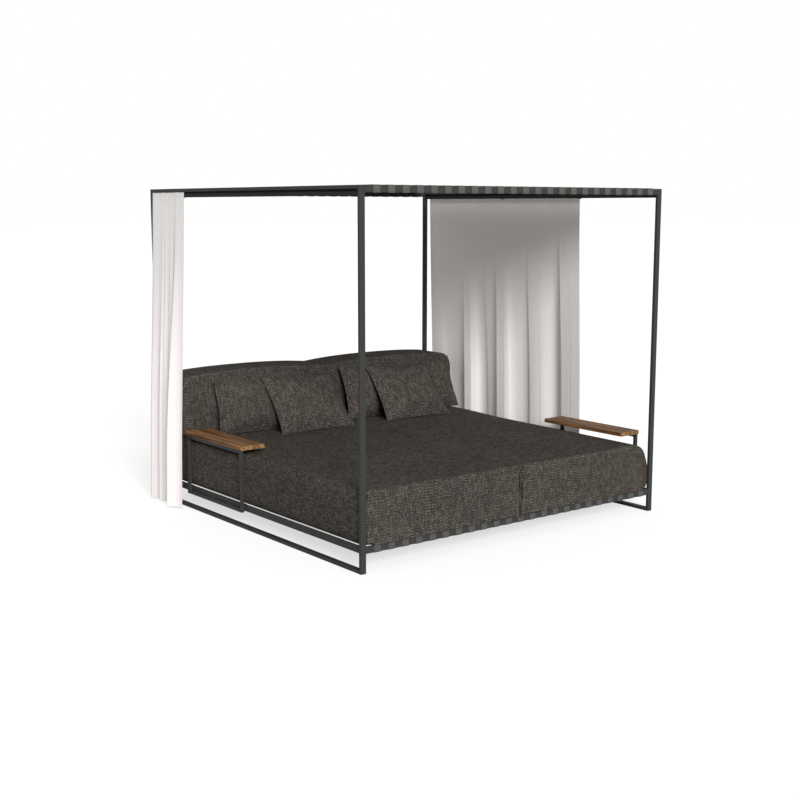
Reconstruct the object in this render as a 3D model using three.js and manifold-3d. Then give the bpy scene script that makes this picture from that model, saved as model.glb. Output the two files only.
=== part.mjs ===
// Outdoor daybed with a canopy frame, belts, mattress, pillows, side shelves and curtains.
// Millimetres. X runs to the right, Y to the back, Z up. The origin is the middle of the
// footprint, on the floor.
import * as THREE from 'three';
import { mergeVertices } from 'three/addons/utils/BufferGeometryUtils.js';
import Module from 'manifold-3d';

const wasm = await Module();
wasm.setup();

// Overall frame
const frameWidth = 2380;
const frameDepth = 2380;
const frameHeight = 2100;

// Clearances
const weldGap = 0.3;
const softGap = 0.8;
const pillowGap = 0.4;
const fuseDepth = 0.3;

// Tubes of the frame
const postWidth = 35;
const postDepth = 20;
const tubeWall = 2;
const tubeRadius = 1.5;
const floorRailTall = 20;
const topSideRailTall = 20;
const crossRailTall = 38;
const crossRailDepth = 20;
const backRailTall = 40;
const backRailTop = 720;

// Base side rails, thin and tall, set in from the posts' outer faces
const baseTop = 150;
const baseSideTall = 40;
const baseSideThick = 15;
const baseSideInset = 16;

// Belts of the base and of the roof
const beltCount = 23;
const beltEndClear = 52.7;
const beltWidth = 48;
const beltThick = 1.8;
const beltBend = 2;

// Canopy cloth under the roof belts
const canopyThick = 0.8;

// Curtain tracks under the top side rails
const trackWidth = 20;
const trackTall = 35;
const trackWall = 2;
const trackSlot = 6;

// Gliders in the tracks
const gliderLength = 24;
const gliderHeadWidth = 13;
const gliderHeadTall = 8;
const gliderStemWidth = 4.4;
const gliderFootWidth = 12;
const gliderFootTall = 4;
const gliderRun = 0.5;

// Curtains
const curtainThick = 2.4;
const curtainHem = 14;
const curtainReach = 118;
const leftCurtain = { leadFromRear: 439, endFromRear: 25, innerReach: 48, deepening: 0.8, sharpness: 1 };
const rightCurtain = { leadFromRear: 1692, endFromRear: 110, innerReach: 32, deepening: 1.2, sharpness: 2 };
const curtainFlatShare = 0.1;
const curtainSteps = [1, 36, 7];
const leftFoldShares = [[0, 0.06], [0.24, 1], [0.585, 0.14], [0.67, 0.66], [0.824, 0], [0.9, 0.66],
  [1, 0.17]];
const rightFoldShares = [[0, 0.55], [0.05, 0.15], [0.138, 1], [0.235, 0.1], [0.334, 0.85], [0.43, 0.08],
  [0.534, 1], [0.65, 0], [0.7775, 0.95], [0.87, 0.2], [0.93, 0.6], [1, 0.3]];

// Mattress halves. The corners of the outline seen from the front are each a run and a rise, from
// the middle seam at the bottom, by the outer side, back to the middle seam at the top
const mattressTall = 305;
const mattressCorners = [[8, 8], [22, 60], [80, 165], [8, 10]];
const mattressEdge = 14;
const mattressCrown = 14;
const mattressOverhang = 17;
const mattressTuck = 70;
const overhangSteepness = 8;
const mattressSteps = { bend: 2, across: 12, up: 6, along: 8 };
const seamGap = 1;
const seamEdgeShare = 0.25;

// Back cushions
const cushionDepth = 318;
const cushionTall = 400;
const cushionCorners = [[8, 8], [30, 40], [90, 110], [8, 10]];
const cushionEdge = 20;
const cushionCrown = 26;
const cushionBulge = 6;
const archSteepness = 2.4;
const cushionSteps = { bend: 2, across: 12, up: 7, along: 3 };

// Pillows
const pillowWidth = 580;
const pillowTall = 450;
const pillowFront = 66;
const pillowRear = 20;
const pillowEdge = 6;
const pillowDrawnShare = 0.025;
const pillowSlumpShare = 0.88;
const pillowSqueezeShare = 0.965;
const backLean = 18;
const frontLean = 36;
const pillows = [
  { name: 'pillow_back_left', centreShare: 0.217, row: 'back', yaw: -5, widthShare: 1.045 },
  { name: 'pillow_back_middle', centreShare: 0.652, row: 'back', yaw: 2.5, widthShare: 1 },
  { name: 'pillow_back_right', centreShare: 0.861, row: 'back', yaw: 5.5, widthShare: 1 },
  { name: 'pillow_front_left', centreShare: 0.3634, row: 'front', yaw: 1.6, widthShare: 1.04 },
  { name: 'pillow_front_right', centreShare: 0.733, row: 'front', yaw: 0, widthShare: 1 },
];

// Side shelves
const shelfTop = 520;
const shelfThick = 26;
const shelfWidth = 175;
const shelfLength = 710;
const shelfOverhang = 8;
const shelfRadius = 3;
const leftShelfFromCushion = 83.7;
const rightShelfFromFront = 137;

// Shelf brackets, a closed ring of square tube with hooks over the base side rail
const bracketTube = 20;
const bracketBottom = 100;
const bracketInset = 6;
const bracketRunGap = 1;
const bracketRadius = 2;
const hookThick = 1.8;
const hookWidth = 16;
const hookDrop = 15;

// Places worked out from the sizes above
const halfWidth = frameWidth / 2;
const halfDepth = frameDepth / 2;
const innerDepth = frameDepth - 2 * postDepth - 2 * weldGap;
const innerWidth = frameWidth - 2 * postWidth - 2 * weldGap;
const beltPitch = (innerWidth - 2 * beltEndClear - beltWidth) / (beltCount - 1);
const sideCentre = halfWidth - postWidth / 2;
const railCentre = halfDepth - crossRailDepth / 2;
const baseBeltTop = baseTop + weldGap + beltThick;
const mattressBottom = baseBeltTop + weldGap;
const seatTop = mattressBottom + mattressTall;
const mattressWidth = halfWidth - baseSideInset - seamGap / 2;
const mattressCentre = (halfWidth - baseSideInset + seamGap / 2) / 2;
const cushionFront = halfDepth - postDepth - weldGap - cushionDepth;
const trackTop = frameHeight - topSideRailTall - weldGap;
const trackBottom = trackTop - trackTall;
const clothTop = trackBottom - gliderRun - gliderFootTall - weldGap;

// Directions that a drawn profile is extruded along
const unitX = new THREE.Vector3(1, 0, 0);
const unitY = new THREE.Vector3(0, 1, 0);
const unitZ = new THREE.Vector3(0, 0, 1);
const alongX = new THREE.Matrix4().makeBasis(unitY, unitZ, unitX);
const alongY = new THREE.Matrix4().makeBasis(unitX, unitZ, unitY.clone().negate());
const alongZ = new THREE.Matrix4();

// Finishes
const frameFinish = { color: 0x4a4a49, roughness: 0.5, metalness: 0.6 };
const beltFinish = { color: 0x5f5f57, roughness: 0.85, metalness: 0 };
const canopyFinish = { color: 0x3a3a37, roughness: 0.9, metalness: 0 };
const fabricFinish = { color: 0x4b4842, roughness: 0.95, metalness: 0 };
const teakFinish = { color: 0x7a5234, roughness: 0.6, metalness: 0 };
const curtainFinish = { color: 0xe8e5e0, roughness: 0.9, metalness: 0 };
const gliderFinish = { color: 0x2b2b2b, roughness: 0.6, metalness: 0 };

const daybed = new THREE.Group();

function add(name, geometry, finish, place = [0, 0, 0]) {
  const mesh = new THREE.Mesh(geometry, new THREE.MeshStandardMaterial(finish));
  mesh.name = name;
  mesh.position.set(...place);
  daybed.add(mesh);
  return mesh;
}

// Closed geometry with shared corners, ready for cuts
function welded(geometry) {
  geometry.deleteAttribute('normal');
  geometry.deleteAttribute('uv');
  return mergeVertices(geometry);
}

function solidOf(geometry) {
  const vertProperties = new Float32Array(geometry.attributes.position.array);
  const triVerts = new Uint32Array(geometry.index.array);
  return new wasm.Manifold(new wasm.Mesh({ numProp: 3, vertProperties, triVerts }));
}

function geometryOf(solid) {
  const mesh = solid.getMesh();
  const geometry = new THREE.BufferGeometry();
  geometry.setAttribute('position', new THREE.BufferAttribute(mesh.vertProperties, mesh.numProp));
  geometry.setIndex(new THREE.BufferAttribute(mesh.triVerts, 1));
  return geometry;
}

// Left and right swapped; each face is read backwards so that it still looks out
function mirrored(geometry) {
  const twin = geometry.clone().scale(-1, 1, 1);
  const index = twin.index.array;
  for (let i = 0; i < index.length; i += 3) {
    const corner = index[i];
    index[i] = index[i + 1];
    index[i + 1] = corner;
  }
  return twin;
}

// A drawn profile, extruded by a length and centred on it
function extruded(shape, length, direction) {
  const geometry = new THREE.ExtrudeGeometry(shape, { depth: length, bevelEnabled: false, curveSegments: 1 });
  geometry.translate(0, 0, -length / 2);
  geometry.applyMatrix4(direction);
  return welded(geometry);
}

function outline(points) {
  return new THREE.Shape(points.map(([x, y]) => new THREE.Vector2(x, y)));
}

function roundedRectangle(width, height, radius) {
  const right = width / 2 - radius;
  const top = height / 2 - radius;
  const shape = new THREE.Shape();
  shape.absarc(right, top, radius, 0, Math.PI / 2);
  shape.absarc(-right, top, radius, Math.PI / 2, Math.PI);
  shape.absarc(-right, -top, radius, Math.PI, 1.5 * Math.PI);
  shape.absarc(right, -top, radius, 1.5 * Math.PI, 2 * Math.PI);
  shape.closePath();
  return shape;
}

function rectangleHole(width, height) {
  const right = width / 2;
  const top = height / 2;
  const hole = new THREE.Path();
  hole.setFromPoints([[right, top], [-right, top], [-right, -top], [right, -top]]
    .map(([x, y]) => new THREE.Vector2(x, y)));
  hole.closePath();
  return hole;
}

// Rectangular tube, open at both ends
function tube(width, height, length, direction) {
  const shape = roundedRectangle(width, height, tubeRadius);
  shape.holes.push(rectangleHole(width - 2 * tubeWall, height - 2 * tubeWall));
  return extruded(shape, length, direction);
}

// Post with a closed top, open at its foot
function post() {
  const body = extruded(roundedRectangle(postWidth, postDepth, tubeRadius), frameHeight, alongZ);
  const boreShape = rectangleShape(postWidth - 2 * tubeWall, postDepth - 2 * tubeWall);
  const bore = extruded(boreShape, frameHeight, alongZ);
  bore.translate(0, 0, -tubeWall);
  return geometryOf(solidOf(body).subtract(solidOf(bore)));
}

function rectangleShape(width, height) {
  const right = width / 2;
  const top = height / 2;
  return outline([[right, top], [-right, top], [-right, -top], [right, -top]]);
}

function addPosts() {
  for (const [row, y] of [['front', -1], ['rear', 1]]) {
    for (const [hand, x] of [['left', -1], ['right', 1]]) {
      const place = [x * sideCentre, y * (halfDepth - postDepth / 2), frameHeight / 2];
      add(`post_${row}_${hand}`, post(), frameFinish, place);
    }
  }
}

function addSideRails() {
  const baseSideCentre = halfWidth - baseSideInset - baseSideThick / 2;
  for (const [hand, side] of [['left', -1], ['right', 1]]) {
    const rails = [
      ['floor_rail', postWidth, floorRailTall, sideCentre, floorRailTall / 2],
      ['base_side_rail', baseSideThick, baseSideTall, baseSideCentre, baseTop - baseSideTall / 2],
      ['top_side_rail', postWidth, topSideRailTall, sideCentre, frameHeight - topSideRailTall / 2],
    ];
    for (const [name, width, tall, x, z] of rails) {
      add(`${name}_${hand}`, tube(width, tall, innerDepth, alongY), frameFinish, [side * x, 0, z]);
    }
  }
}

function addCrossRails() {
  const crossRail = () => tube(crossRailDepth, crossRailTall, innerWidth, alongX);
  const topHeight = frameHeight - crossRailTall / 2;
  add('top_rail_front', crossRail(), frameFinish, [0, -railCentre, topHeight]);
  add('top_rail_rear', crossRail(), frameFinish, [0, railCentre, topHeight]);
  add('base_rail_rear', crossRail(), frameFinish, [0, railCentre, baseTop - crossRailTall / 2]);
  const backRail = tube(crossRailDepth, backRailTall, innerWidth, alongX);
  add('back_rail', backRail, frameFinish, [0, railCentre, backRailTop - backRailTall / 2]);
}

// Belt seen from the side: a straight run over both rails, and at each rail a wrap that goes
// down its outer face, under it and up its inner face. Gap is the room between belt and rail.
function beltOutline(railTop, frontGap, rearGap, lift) {
  const half = (y, gap) => {
    const side = Math.sign(y);
    const outer = y + side * (crossRailDepth / 2 + gap);
    const inner = y - side * (crossRailDepth / 2 + gap);
    const bottom = railTop - crossRailTall - gap;
    const runUnder = railTop + lift + gap;
    const endTop = railTop - beltThick;
    const out = side * beltThick;
    const bend = side * beltBend;
    return [
      [inner, runUnder], [outer, runUnder], [outer, bottom], [inner, bottom], [inner, endTop],
      [inner - out, endTop], [inner - out, bottom - beltThick + beltBend],
      [inner - out + bend, bottom - beltThick], [outer + out - bend, bottom - beltThick],
      [outer + out, bottom - beltThick + beltBend], [outer + out, runUnder + beltThick - beltBend],
      [outer + out - bend, runUnder + beltThick],
    ];
  };
  const front = half(-railCentre, frontGap);
  const rear = half(railCentre, rearGap).reverse();
  return outline([...front, ...rear]);
}

function beltPlaces() {
  return Array.from({ length: beltCount }, (_, i) => (i - (beltCount - 1) / 2) * beltPitch);
}

// Front rail of the base with its belts, which reach back and wrap the rear rail
function addBeltedBase() {
  const rail = tube(crossRailDepth, crossRailTall, innerWidth, alongX);
  rail.translate(0, -railCentre, baseTop - crossRailTall / 2);
  let belted = solidOf(rail);
  for (const x of beltPlaces()) {
    const belt = extruded(beltOutline(baseTop, -fuseDepth, weldGap, 0), beltWidth, alongX);
    belt.translate(x, 0, 0);
    belted = belted.add(solidOf(belt));
  }
  add('base_rail_front_with_belts', geometryOf(belted), beltFinish);
}

function addRoof() {
  const canopyWidth = (beltCount - 1) * beltPitch + beltWidth;
  const canopy = welded(new THREE.BoxGeometry(canopyWidth, frameDepth, canopyThick));
  add('canopy_cloth', canopy, canopyFinish, [0, 0, frameHeight + weldGap + canopyThick / 2]);
  const beltShape = beltOutline(frameHeight, weldGap, weldGap, canopyThick + weldGap);
  beltPlaces().forEach((x, i) => {
    const belt = extruded(beltShape, beltWidth, alongX);
    add(`roof_belt_${String(i + 1).padStart(2, '0')}`, belt, beltFinish, [x, 0, 0]);
  });
}

// Curtain track: a channel with a slot in its underside
function track() {
  const right = trackWidth / 2;
  const wall = right - trackWall;
  const lip = trackSlot / 2;
  return outline([
    [-right, 0], [-lip, 0], [-lip, trackWall], [-wall, trackWall], [-wall, trackTall - trackWall],
    [wall, trackTall - trackWall], [wall, trackWall], [lip, trackWall], [lip, 0], [right, 0],
    [right, trackTall], [-right, trackTall],
  ]);
}

// Glider: a head that rides on the track's lips, a stem through the slot and a foot for the cloth
function glider() {
  const head = gliderHeadWidth / 2;
  const stem = gliderStemWidth / 2;
  const foot = gliderFootWidth / 2;
  const headBottom = trackWall + weldGap;
  const footTop = -gliderRun;
  return outline([
    [-foot, footTop - gliderFootTall], [foot, footTop - gliderFootTall], [foot, footTop], [stem, footTop],
    [stem, headBottom], [head, headBottom], [head, headBottom + gliderHeadTall],
    [-head, headBottom + gliderHeadTall], [-head, headBottom], [-stem, headBottom], [-stem, footTop],
    [-foot, footTop],
  ]);
}

// A box of unit size with a grid on each face, whose every point goes where place puts it
function shapedBox(steps, place) {
  const geometry = welded(new THREE.BoxGeometry(1, 1, 1, ...steps));
  const points = geometry.attributes.position;
  for (let i = 0; i < points.count; i += 1) {
    points.setXYZ(i, ...place(2 * points.getX(i), 2 * points.getY(i), 2 * points.getZ(i)));
  }
  return geometry;
}

// Smooth height between the points of a table of shares
function fold(shares, place) {
  const next = Math.max(1, shares.findIndex(([at]) => at >= place));
  const [fromPlace, fromHeight] = shares[next - 1];
  const [toPlace, toHeight] = shares[next];
  return THREE.MathUtils.lerp(fromHeight, toHeight, THREE.MathUtils.smoothstep(place, fromPlace, toPlace));
}

// Hanging curtain: flat under its track, its folds open downwards and lean out past the shelf
function curtain(size, shares, side) {
  const lead = halfDepth - size.leadFromRear;
  const rear = halfDepth - size.endFromRear;
  const count = curtainSteps[1];
  const places = Array.from({ length: count + 1 }, (_, i) => i / count);
  const peak = Math.max(...places.map((place) => fold(shares, place)));
  const lean = size.innerReach + postWidth / 2;
  const spread = curtainReach - size.innerReach;
  return shapedBox(curtainSteps, (u, v, w) => {
    const along = (v + 1) / 2;
    const down = (1 - w) / 2;
    const open = curtainFlatShare + (1 - curtainFlatShare) * down ** size.deepening;
    const out = lean * down + spread * open * (fold(shares, along) / peak) ** size.sharpness;
    return [
      side * (sideCentre + out) + u * curtainThick / 2,
      THREE.MathUtils.lerp(lead, rear, along),
      THREE.MathUtils.lerp(clothTop, curtainHem, down),
    ];
  });
}

function addCurtains() {
  const hung = [
    { hand: 'left', side: -1, size: leftCurtain, shares: leftFoldShares },
    { hand: 'right', side: 1, size: rightCurtain, shares: rightFoldShares },
  ];
  for (const { hand, side, size, shares } of hung) {
    const railPlace = [side * sideCentre, 0, trackBottom];
    add(`curtain_track_${hand}`, extruded(track(), innerDepth, alongY), frameFinish, railPlace);
    add(`curtain_${hand}`, curtain(size, shares, side), curtainFinish);
    const leadPlace = halfDepth - size.leadFromRear + gliderLength / 2;
    const middlePlace = halfDepth - (size.leadFromRear + size.endFromRear) / 2;
    for (const [name, y] of [['lead', leadPlace], ['middle', middlePlace]]) {
      const place = [side * sideCentre, y, trackBottom];
      add(`curtain_glider_${name}_${hand}`, extruded(glider(), gliderLength, alongY), gliderFinish, place);
    }
  }
}

// Points on a quarter of an ellipse, each with the way it faces
function cornerRun(centre, reach, start, end, parts) {
  return Array.from({ length: parts + 1 }, (_, i) => {
    const turn = THREE.MathUtils.degToRad(THREE.MathUtils.lerp(start, end, i / parts));
    const arm = new THREE.Vector2(Math.cos(turn), Math.sin(turn));
    const facing = new THREE.Vector2(arm.x / reach[0], arm.y / reach[1]).normalize();
    return { x: centre[0] + reach[0] * arm.x, z: centre[1] + reach[1] * arm.y, facing };
  });
}

// Closed outline with four rounded corners; each side runs from the middle of one corner to the
// middle of the next, and the bottom comes first
function blockOutline(width, tall, corners, bend, flats) {
  const centres = [
    [corners[0][0], corners[0][1]],
    [width - corners[1][0], corners[1][1]],
    [width - corners[2][0], tall - corners[2][1]],
    [corners[3][0], tall - corners[3][1]],
  ];
  return centres.flatMap((centre, k) => {
    const next = (k + 1) % centres.length;
    const start = 225 + 90 * k;
    const here = cornerRun(centre, corners[k], start, start + 45, bend);
    const there = cornerRun(centres[next], corners[next], start + 45, start + 90, bend);
    const count = flats[k % 2];
    const from = here[bend];
    const to = there[0];
    const line = Array.from({ length: count - 1 }, (_, i) => ({
      x: THREE.MathUtils.lerp(from.x, to.x, (i + 1) / count),
      z: THREE.MathUtils.lerp(from.z, to.z, (i + 1) / count),
      facing: from.facing,
    }));
    return [...here, ...line, ...there.slice(0, bend)];
  });
}

// Face at an end of a block: a grid of points between the four sides of its outline, whose points
// are already in the list from a first one on
function endGrid(points, outlineFirst, across, up) {
  const count = 2 * (across + up);
  const gridFirst = points.length;
  const at = (i, j) => {
    if (j === 0) return outlineFirst + i;
    if (j === up) return outlineFirst + 2 * across + up - i;
    if (i === 0) return outlineFirst + count - j;
    if (i === across) return outlineFirst + across + j;
    return gridFirst + (i - 1) * (up - 1) + j - 1;
  };
  const pointAt = (i, j) => new THREE.Vector3(...points[at(i, j)]);
  for (let i = 1; i < across; i += 1) {
    for (let j = 1; j < up; j += 1) {
      const s = i / across;
      const t = j / up;
      const upward = pointAt(i, 0).lerp(pointAt(i, up), t);
      const sideways = pointAt(0, j).lerp(pointAt(across, j), s);
      const bottom = pointAt(0, 0).lerp(pointAt(across, 0), s);
      const top = pointAt(0, up).lerp(pointAt(across, up), s);
      points.push(upward.add(sideways).sub(bottom.lerp(top, t)).toArray());
    }
  }
  return Array.from({ length: across * up }, (_, k) => {
    const i = k % across;
    const j = Math.floor(k / across);
    return [at(i, j), at(i + 1, j), at(i + 1, j + 1), at(i, j + 1)];
  });
}

// How far the outline of a block is drawn in, from its front to its back
function edgeRun(depth, edge, bend, along) {
  const turns = Array.from({ length: bend + 1 }, (_, i) => Math.PI / 2 * i / bend);
  const front = turns.map((turn) => [edge * (1 - Math.sin(turn)), edge * (1 - Math.cos(turn))]);
  const flat = depth - 2 * edge;
  const middle = Array.from({ length: along - 1 }, (_, i) => [0, edge + flat * (i + 1) / along]);
  const rear = front.map(([drawn, y]) => [drawn, depth - y]).reverse();
  return [...front, ...middle, ...rear];
}

// Foam block with a sewn cover: a rounded outline that runs from front to back, drawn in at both
// ends by the rounding of its edges
function foamBlock(size, steps, finish) {
  const { width, depth, tall, corners, edge } = size;
  const { bend, across, up, along } = steps;
  const profile = blockOutline(width, tall, corners, bend, [across - 2 * bend, up - 2 * bend]);
  const rings = edgeRun(depth, edge, bend, along);
  const points = rings.flatMap(([drawn, y]) => profile.map(({ x, z, facing }) => {
    const inset = drawn * (1 - (1 - seamEdgeShare) * Math.max(0, -facing.x));
    return [x - facing.x * inset, y, z - facing.y * inset];
  }));
  const count = profile.length;
  const faces = [];
  for (let ring = 0; ring + 1 < rings.length; ring += 1) {
    for (let k = 0; k < count; k += 1) {
      const next = (k + 1) % count;
      const first = ring * count;
      faces.push([first + next, first + k, first + count + k, first + count + next]);
    }
  }
  faces.push(...endGrid(points, 0, across, up));
  faces.push(...endGrid(points, (rings.length - 1) * count, across, up).map((face) => face.reverse()));
  const geometry = new THREE.BufferGeometry();
  const places = points.flatMap((each) => finish(...each));
  geometry.setAttribute('position', new THREE.Float32BufferAttribute(places, 3));
  geometry.setIndex(faces.flatMap(([a, b, c, d]) => [a, b, c, a, c, d]));
  return geometry;
}

// Height that the mattress crown adds at a place on the seat
function crownAt(x, y) {
  const acrossShare = Math.max(0, Math.abs(x) - mattressCentre) / (mattressWidth / 2);
  const alongShare = y / (innerDepth / 2);
  return mattressCrown * Math.max(0, 1 - acrossShare ** 2) * Math.max(0, 1 - alongShare ** 2);
}

// Mattress half with a crowned top, whose front comes over the rail between the posts
function mattress() {
  const size = {
    width: mattressWidth,
    depth: innerDepth,
    tall: mattressTall,
    corners: mattressCorners,
    edge: mattressEdge,
  };
  const postSide = halfWidth - postWidth - softGap;
  return foamBlock(size, mattressSteps, (across, along, up) => {
    const x = across + seamGap / 2;
    const y = along - innerDepth / 2;
    const frontShare = Math.max(0, -2 * y / innerDepth) ** overhangSteepness;
    const over = mattressOverhang * THREE.MathUtils.smoothstep(postSide - x, 0, mattressTuck) * frontShare;
    return [x, y - over, mattressBottom + up + up / mattressTall * crownAt(x, y)];
  });
}

// Back cushion: its underside follows the crown of the mattress and its top is crowned
function cushion() {
  const size = {
    width: mattressWidth,
    depth: cushionDepth,
    tall: cushionTall,
    corners: cushionCorners,
    edge: cushionEdge,
  };
  return foamBlock(size, cushionSteps, (across, along, up) => {
    const x = across + seamGap / 2;
    const y = along + cushionFront;
    const acrossShare = 2 * across / mattressWidth - 1;
    const rise = up / cushionTall;
    const arch = 1 - Math.abs(acrossShare) ** archSteepness;
    const frontShare = Math.max(0, 1 - 2 * along / cushionDepth);
    const full = (1 - acrossShare ** 2) * (1 - (2 * rise - 1) ** 2) * frontShare;
    const height = seatTop + softGap + up + rise * cushionCrown * arch + (1 - rise) * crownAt(x, y);
    return [x, y - cushionBulge * full, height];
  });
}

// Throw pillow, standing on its lower edge: full in the middle, thin at its seam
function pillow(width, tall) {
  return shapedBox([10, 1, 8], (u, v, w) => {
    const full = ((1 - Math.abs(u) ** 3) * (1 - Math.abs(w) ** 3)) ** 0.7;
    const belly = v < 0 ? pillowFront : pillowRear;
    return [
      u * width / 2 * (1 - pillowDrawnShare * (1 - w * w)),
      v * (pillowEdge / 2 + belly * full),
      tall / 2 * (1 + w * (1 - pillowDrawnShare * (1 - u * u))),
    ];
  });
}

// How far a turned pillow's end comes forward
function turnRun(yaw) {
  return pillowWidth / 2 * Math.sin(THREE.MathUtils.degToRad(Math.abs(yaw)));
}

// Room that a leaning pillow's lower edge needs in front of the back cushion
function footRun(row, yaw) {
  const back = THREE.MathUtils.degToRad(backLean);
  const front = THREE.MathUtils.degToRad(frontLean);
  const backRun = pillowTall * pillowSlumpShare * Math.sin(back) + pillowEdge + cushionBulge;
  if (row === 'back') {
    return backRun + turnRun(yaw);
  }
  const widestTurn = Math.max(...pillows.map((each) => each.row === 'back' ? turnRun(each.yaw) : 0));
  const restRun = pillowTall * (Math.sin(front) - Math.cos(front) * Math.tan(back));
  return backRun + widestTurn + pillowFront + restRun;
}

function addPillows() {
  for (const { name, centreShare, row, yaw, widthShare } of pillows) {
    const isBack = row === 'back';
    const width = pillowWidth * widthShare * (isBack ? pillowSqueezeShare : 1);
    const tall = isBack ? pillowTall * pillowSlumpShare : pillowTall;
    const geometry = pillow(width, tall);
    geometry.rotateX(-THREE.MathUtils.degToRad(isBack ? backLean : frontLean));
    geometry.rotateZ(THREE.MathUtils.degToRad(yaw));
    const x = frameWidth * centreShare - halfWidth;
    const y = cushionFront - footRun(row, yaw);
    const points = geometry.attributes.position;
    let lift = -Infinity;
    for (let i = 0; i < points.count; i += 1) {
      lift = Math.max(lift, crownAt(x + points.getX(i), y + points.getY(i)) - points.getZ(i));
    }
    add(name, geometry, fabricFinish, [x, y, seatTop + pillowGap + lift]);
  }
}

function addSoftParts() {
  add('mattress_right', mattress(), fabricFinish);
  add('mattress_left', mirrored(mattress()), fabricFinish);
  add('back_cushion_right', cushion(), fabricFinish);
  add('back_cushion_left', mirrored(cushion()), fabricFinish);
  addPillows();
}

// Shelf bracket: a ring of square tube beside the base side rail, with two hooks over it
function bracket() {
  const top = shelfTop - shelfThick - weldGap;
  const tall = top - bracketBottom;
  const long = shelfLength - 2 * bracketInset;
  const ringShape = roundedRectangle(long, tall, bracketRadius);
  ringShape.holes.push(rectangleHole(long - 2 * bracketTube, tall - 2 * bracketTube));
  const face = halfWidth - baseSideInset + bracketRunGap;
  const ring = extruded(ringShape, bracketTube, alongX);
  ring.translate(face + bracketTube / 2, 0, bracketBottom + tall / 2);
  const under = baseTop + weldGap;
  const lipOuter = halfWidth - baseSideInset - baseSideThick - weldGap;
  const lipInner = lipOuter - hookThick;
  const rooted = face + bracketTube / 2;
  const hookShape = outline([
    [rooted, under], [rooted, under + hookThick], [lipInner, under + hookThick], [lipInner, under - hookDrop],
    [lipOuter, under - hookDrop], [lipOuter, under],
  ]);
  let body = solidOf(ring);
  for (const end of [-1, 1]) {
    const hook = extruded(hookShape, hookWidth, alongY);
    hook.translate(0, end * (long - bracketTube) / 2, 0);
    body = body.add(solidOf(hook));
  }
  return geometryOf(body);
}

function addShelves() {
  const board = () => extruded(roundedRectangle(shelfWidth, shelfThick, shelfRadius), shelfLength, alongY);
  const boardX = halfWidth + shelfOverhang - shelfWidth / 2;
  const leftPlace = cushionFront - leftShelfFromCushion - shelfLength / 2;
  const rightPlace = rightShelfFromFront + shelfLength / 2 - halfDepth;
  const shelves = [
    { hand: 'left', side: -1, y: leftPlace, ring: mirrored(bracket()) },
    { hand: 'right', side: 1, y: rightPlace, ring: bracket() },
  ];
  for (const { hand, side, y, ring } of shelves) {
    add(`shelf_board_${hand}`, board(), teakFinish, [side * boardX, y, shelfTop - shelfThick / 2]);
    add(`shelf_bracket_${hand}`, ring, frameFinish, [0, y, 0]);
  }
}

addPosts();
addSideRails();
addCrossRails();
addBeltedBase();
addRoof();
addSoftParts();
addShelves();
addCurtains();

export default daybed;
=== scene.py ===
import math

import bpy
import numpy as np
from mathutils import Matrix, Vector
from mathutils.bvhtree import BVHTree


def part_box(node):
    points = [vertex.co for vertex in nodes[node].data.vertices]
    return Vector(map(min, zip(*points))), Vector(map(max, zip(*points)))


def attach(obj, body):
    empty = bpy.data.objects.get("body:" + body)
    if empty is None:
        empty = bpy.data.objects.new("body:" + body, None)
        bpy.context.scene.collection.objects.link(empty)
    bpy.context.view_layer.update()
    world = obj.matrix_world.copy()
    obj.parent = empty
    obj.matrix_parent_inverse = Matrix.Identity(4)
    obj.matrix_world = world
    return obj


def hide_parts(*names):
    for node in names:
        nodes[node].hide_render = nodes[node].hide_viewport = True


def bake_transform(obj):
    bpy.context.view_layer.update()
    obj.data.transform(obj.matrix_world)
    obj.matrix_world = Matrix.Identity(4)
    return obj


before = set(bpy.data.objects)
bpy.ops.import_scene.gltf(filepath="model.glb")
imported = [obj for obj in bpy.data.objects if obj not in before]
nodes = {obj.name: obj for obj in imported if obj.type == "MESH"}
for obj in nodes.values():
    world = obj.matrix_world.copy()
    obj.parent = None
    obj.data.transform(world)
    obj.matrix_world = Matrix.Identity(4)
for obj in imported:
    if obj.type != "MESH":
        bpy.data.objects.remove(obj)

scene = bpy.context.scene
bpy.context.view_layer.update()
print("frame loaded:", len(nodes), "nodes")


# Small tools for node trees

def feed(tree, value, socket):
    if isinstance(value, bpy.types.NodeSocket):
        tree.links.new(value, socket)
    else:
        socket.default_value = value


def calc(tree, operation, *values):
    node = tree.nodes.new("ShaderNodeMath")
    node.operation = operation
    for value, socket in zip(values, node.inputs):
        feed(tree, value, socket)
    return node.outputs[0]


def times(tree, a, b):
    return calc(tree, "MULTIPLY", a, b)


def graded(tree, value, span, low):
    # low where the value is 0, low + span where it is 1
    return calc(tree, "MULTIPLY_ADD", value, span, low)


def vectorCalc(tree, operation, *values, scale=None):
    node = tree.nodes.new("ShaderNodeVectorMath")
    node.operation = operation
    for value, socket in zip(values, node.inputs):
        feed(tree, value, socket)
    if scale is not None:
        feed(tree, scale, node.inputs["Scale"])
    return node.outputs["Value" if operation == "DOT_PRODUCT" else "Vector"]


def apart(tree, vector):
    node = tree.nodes.new("ShaderNodeSeparateXYZ")
    feed(tree, vector, node.inputs[0])
    return node.outputs


def together(tree, x, y, z=0.0):
    node = tree.nodes.new("ShaderNodeCombineXYZ")
    for value, socket in zip((x, y, z), node.inputs):
        feed(tree, value, socket)
    return node.outputs[0]


def noiseAt(tree, vector, scale, detail=2.0, roughness=0.5):
    node = tree.nodes.new("ShaderNodeTexNoise")
    feed(tree, vector, node.inputs["Vector"])
    feed(tree, scale, node.inputs["Scale"])
    node.inputs["Detail"].default_value = detail
    node.inputs["Roughness"].default_value = roughness
    return node.outputs["Fac"]


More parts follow.
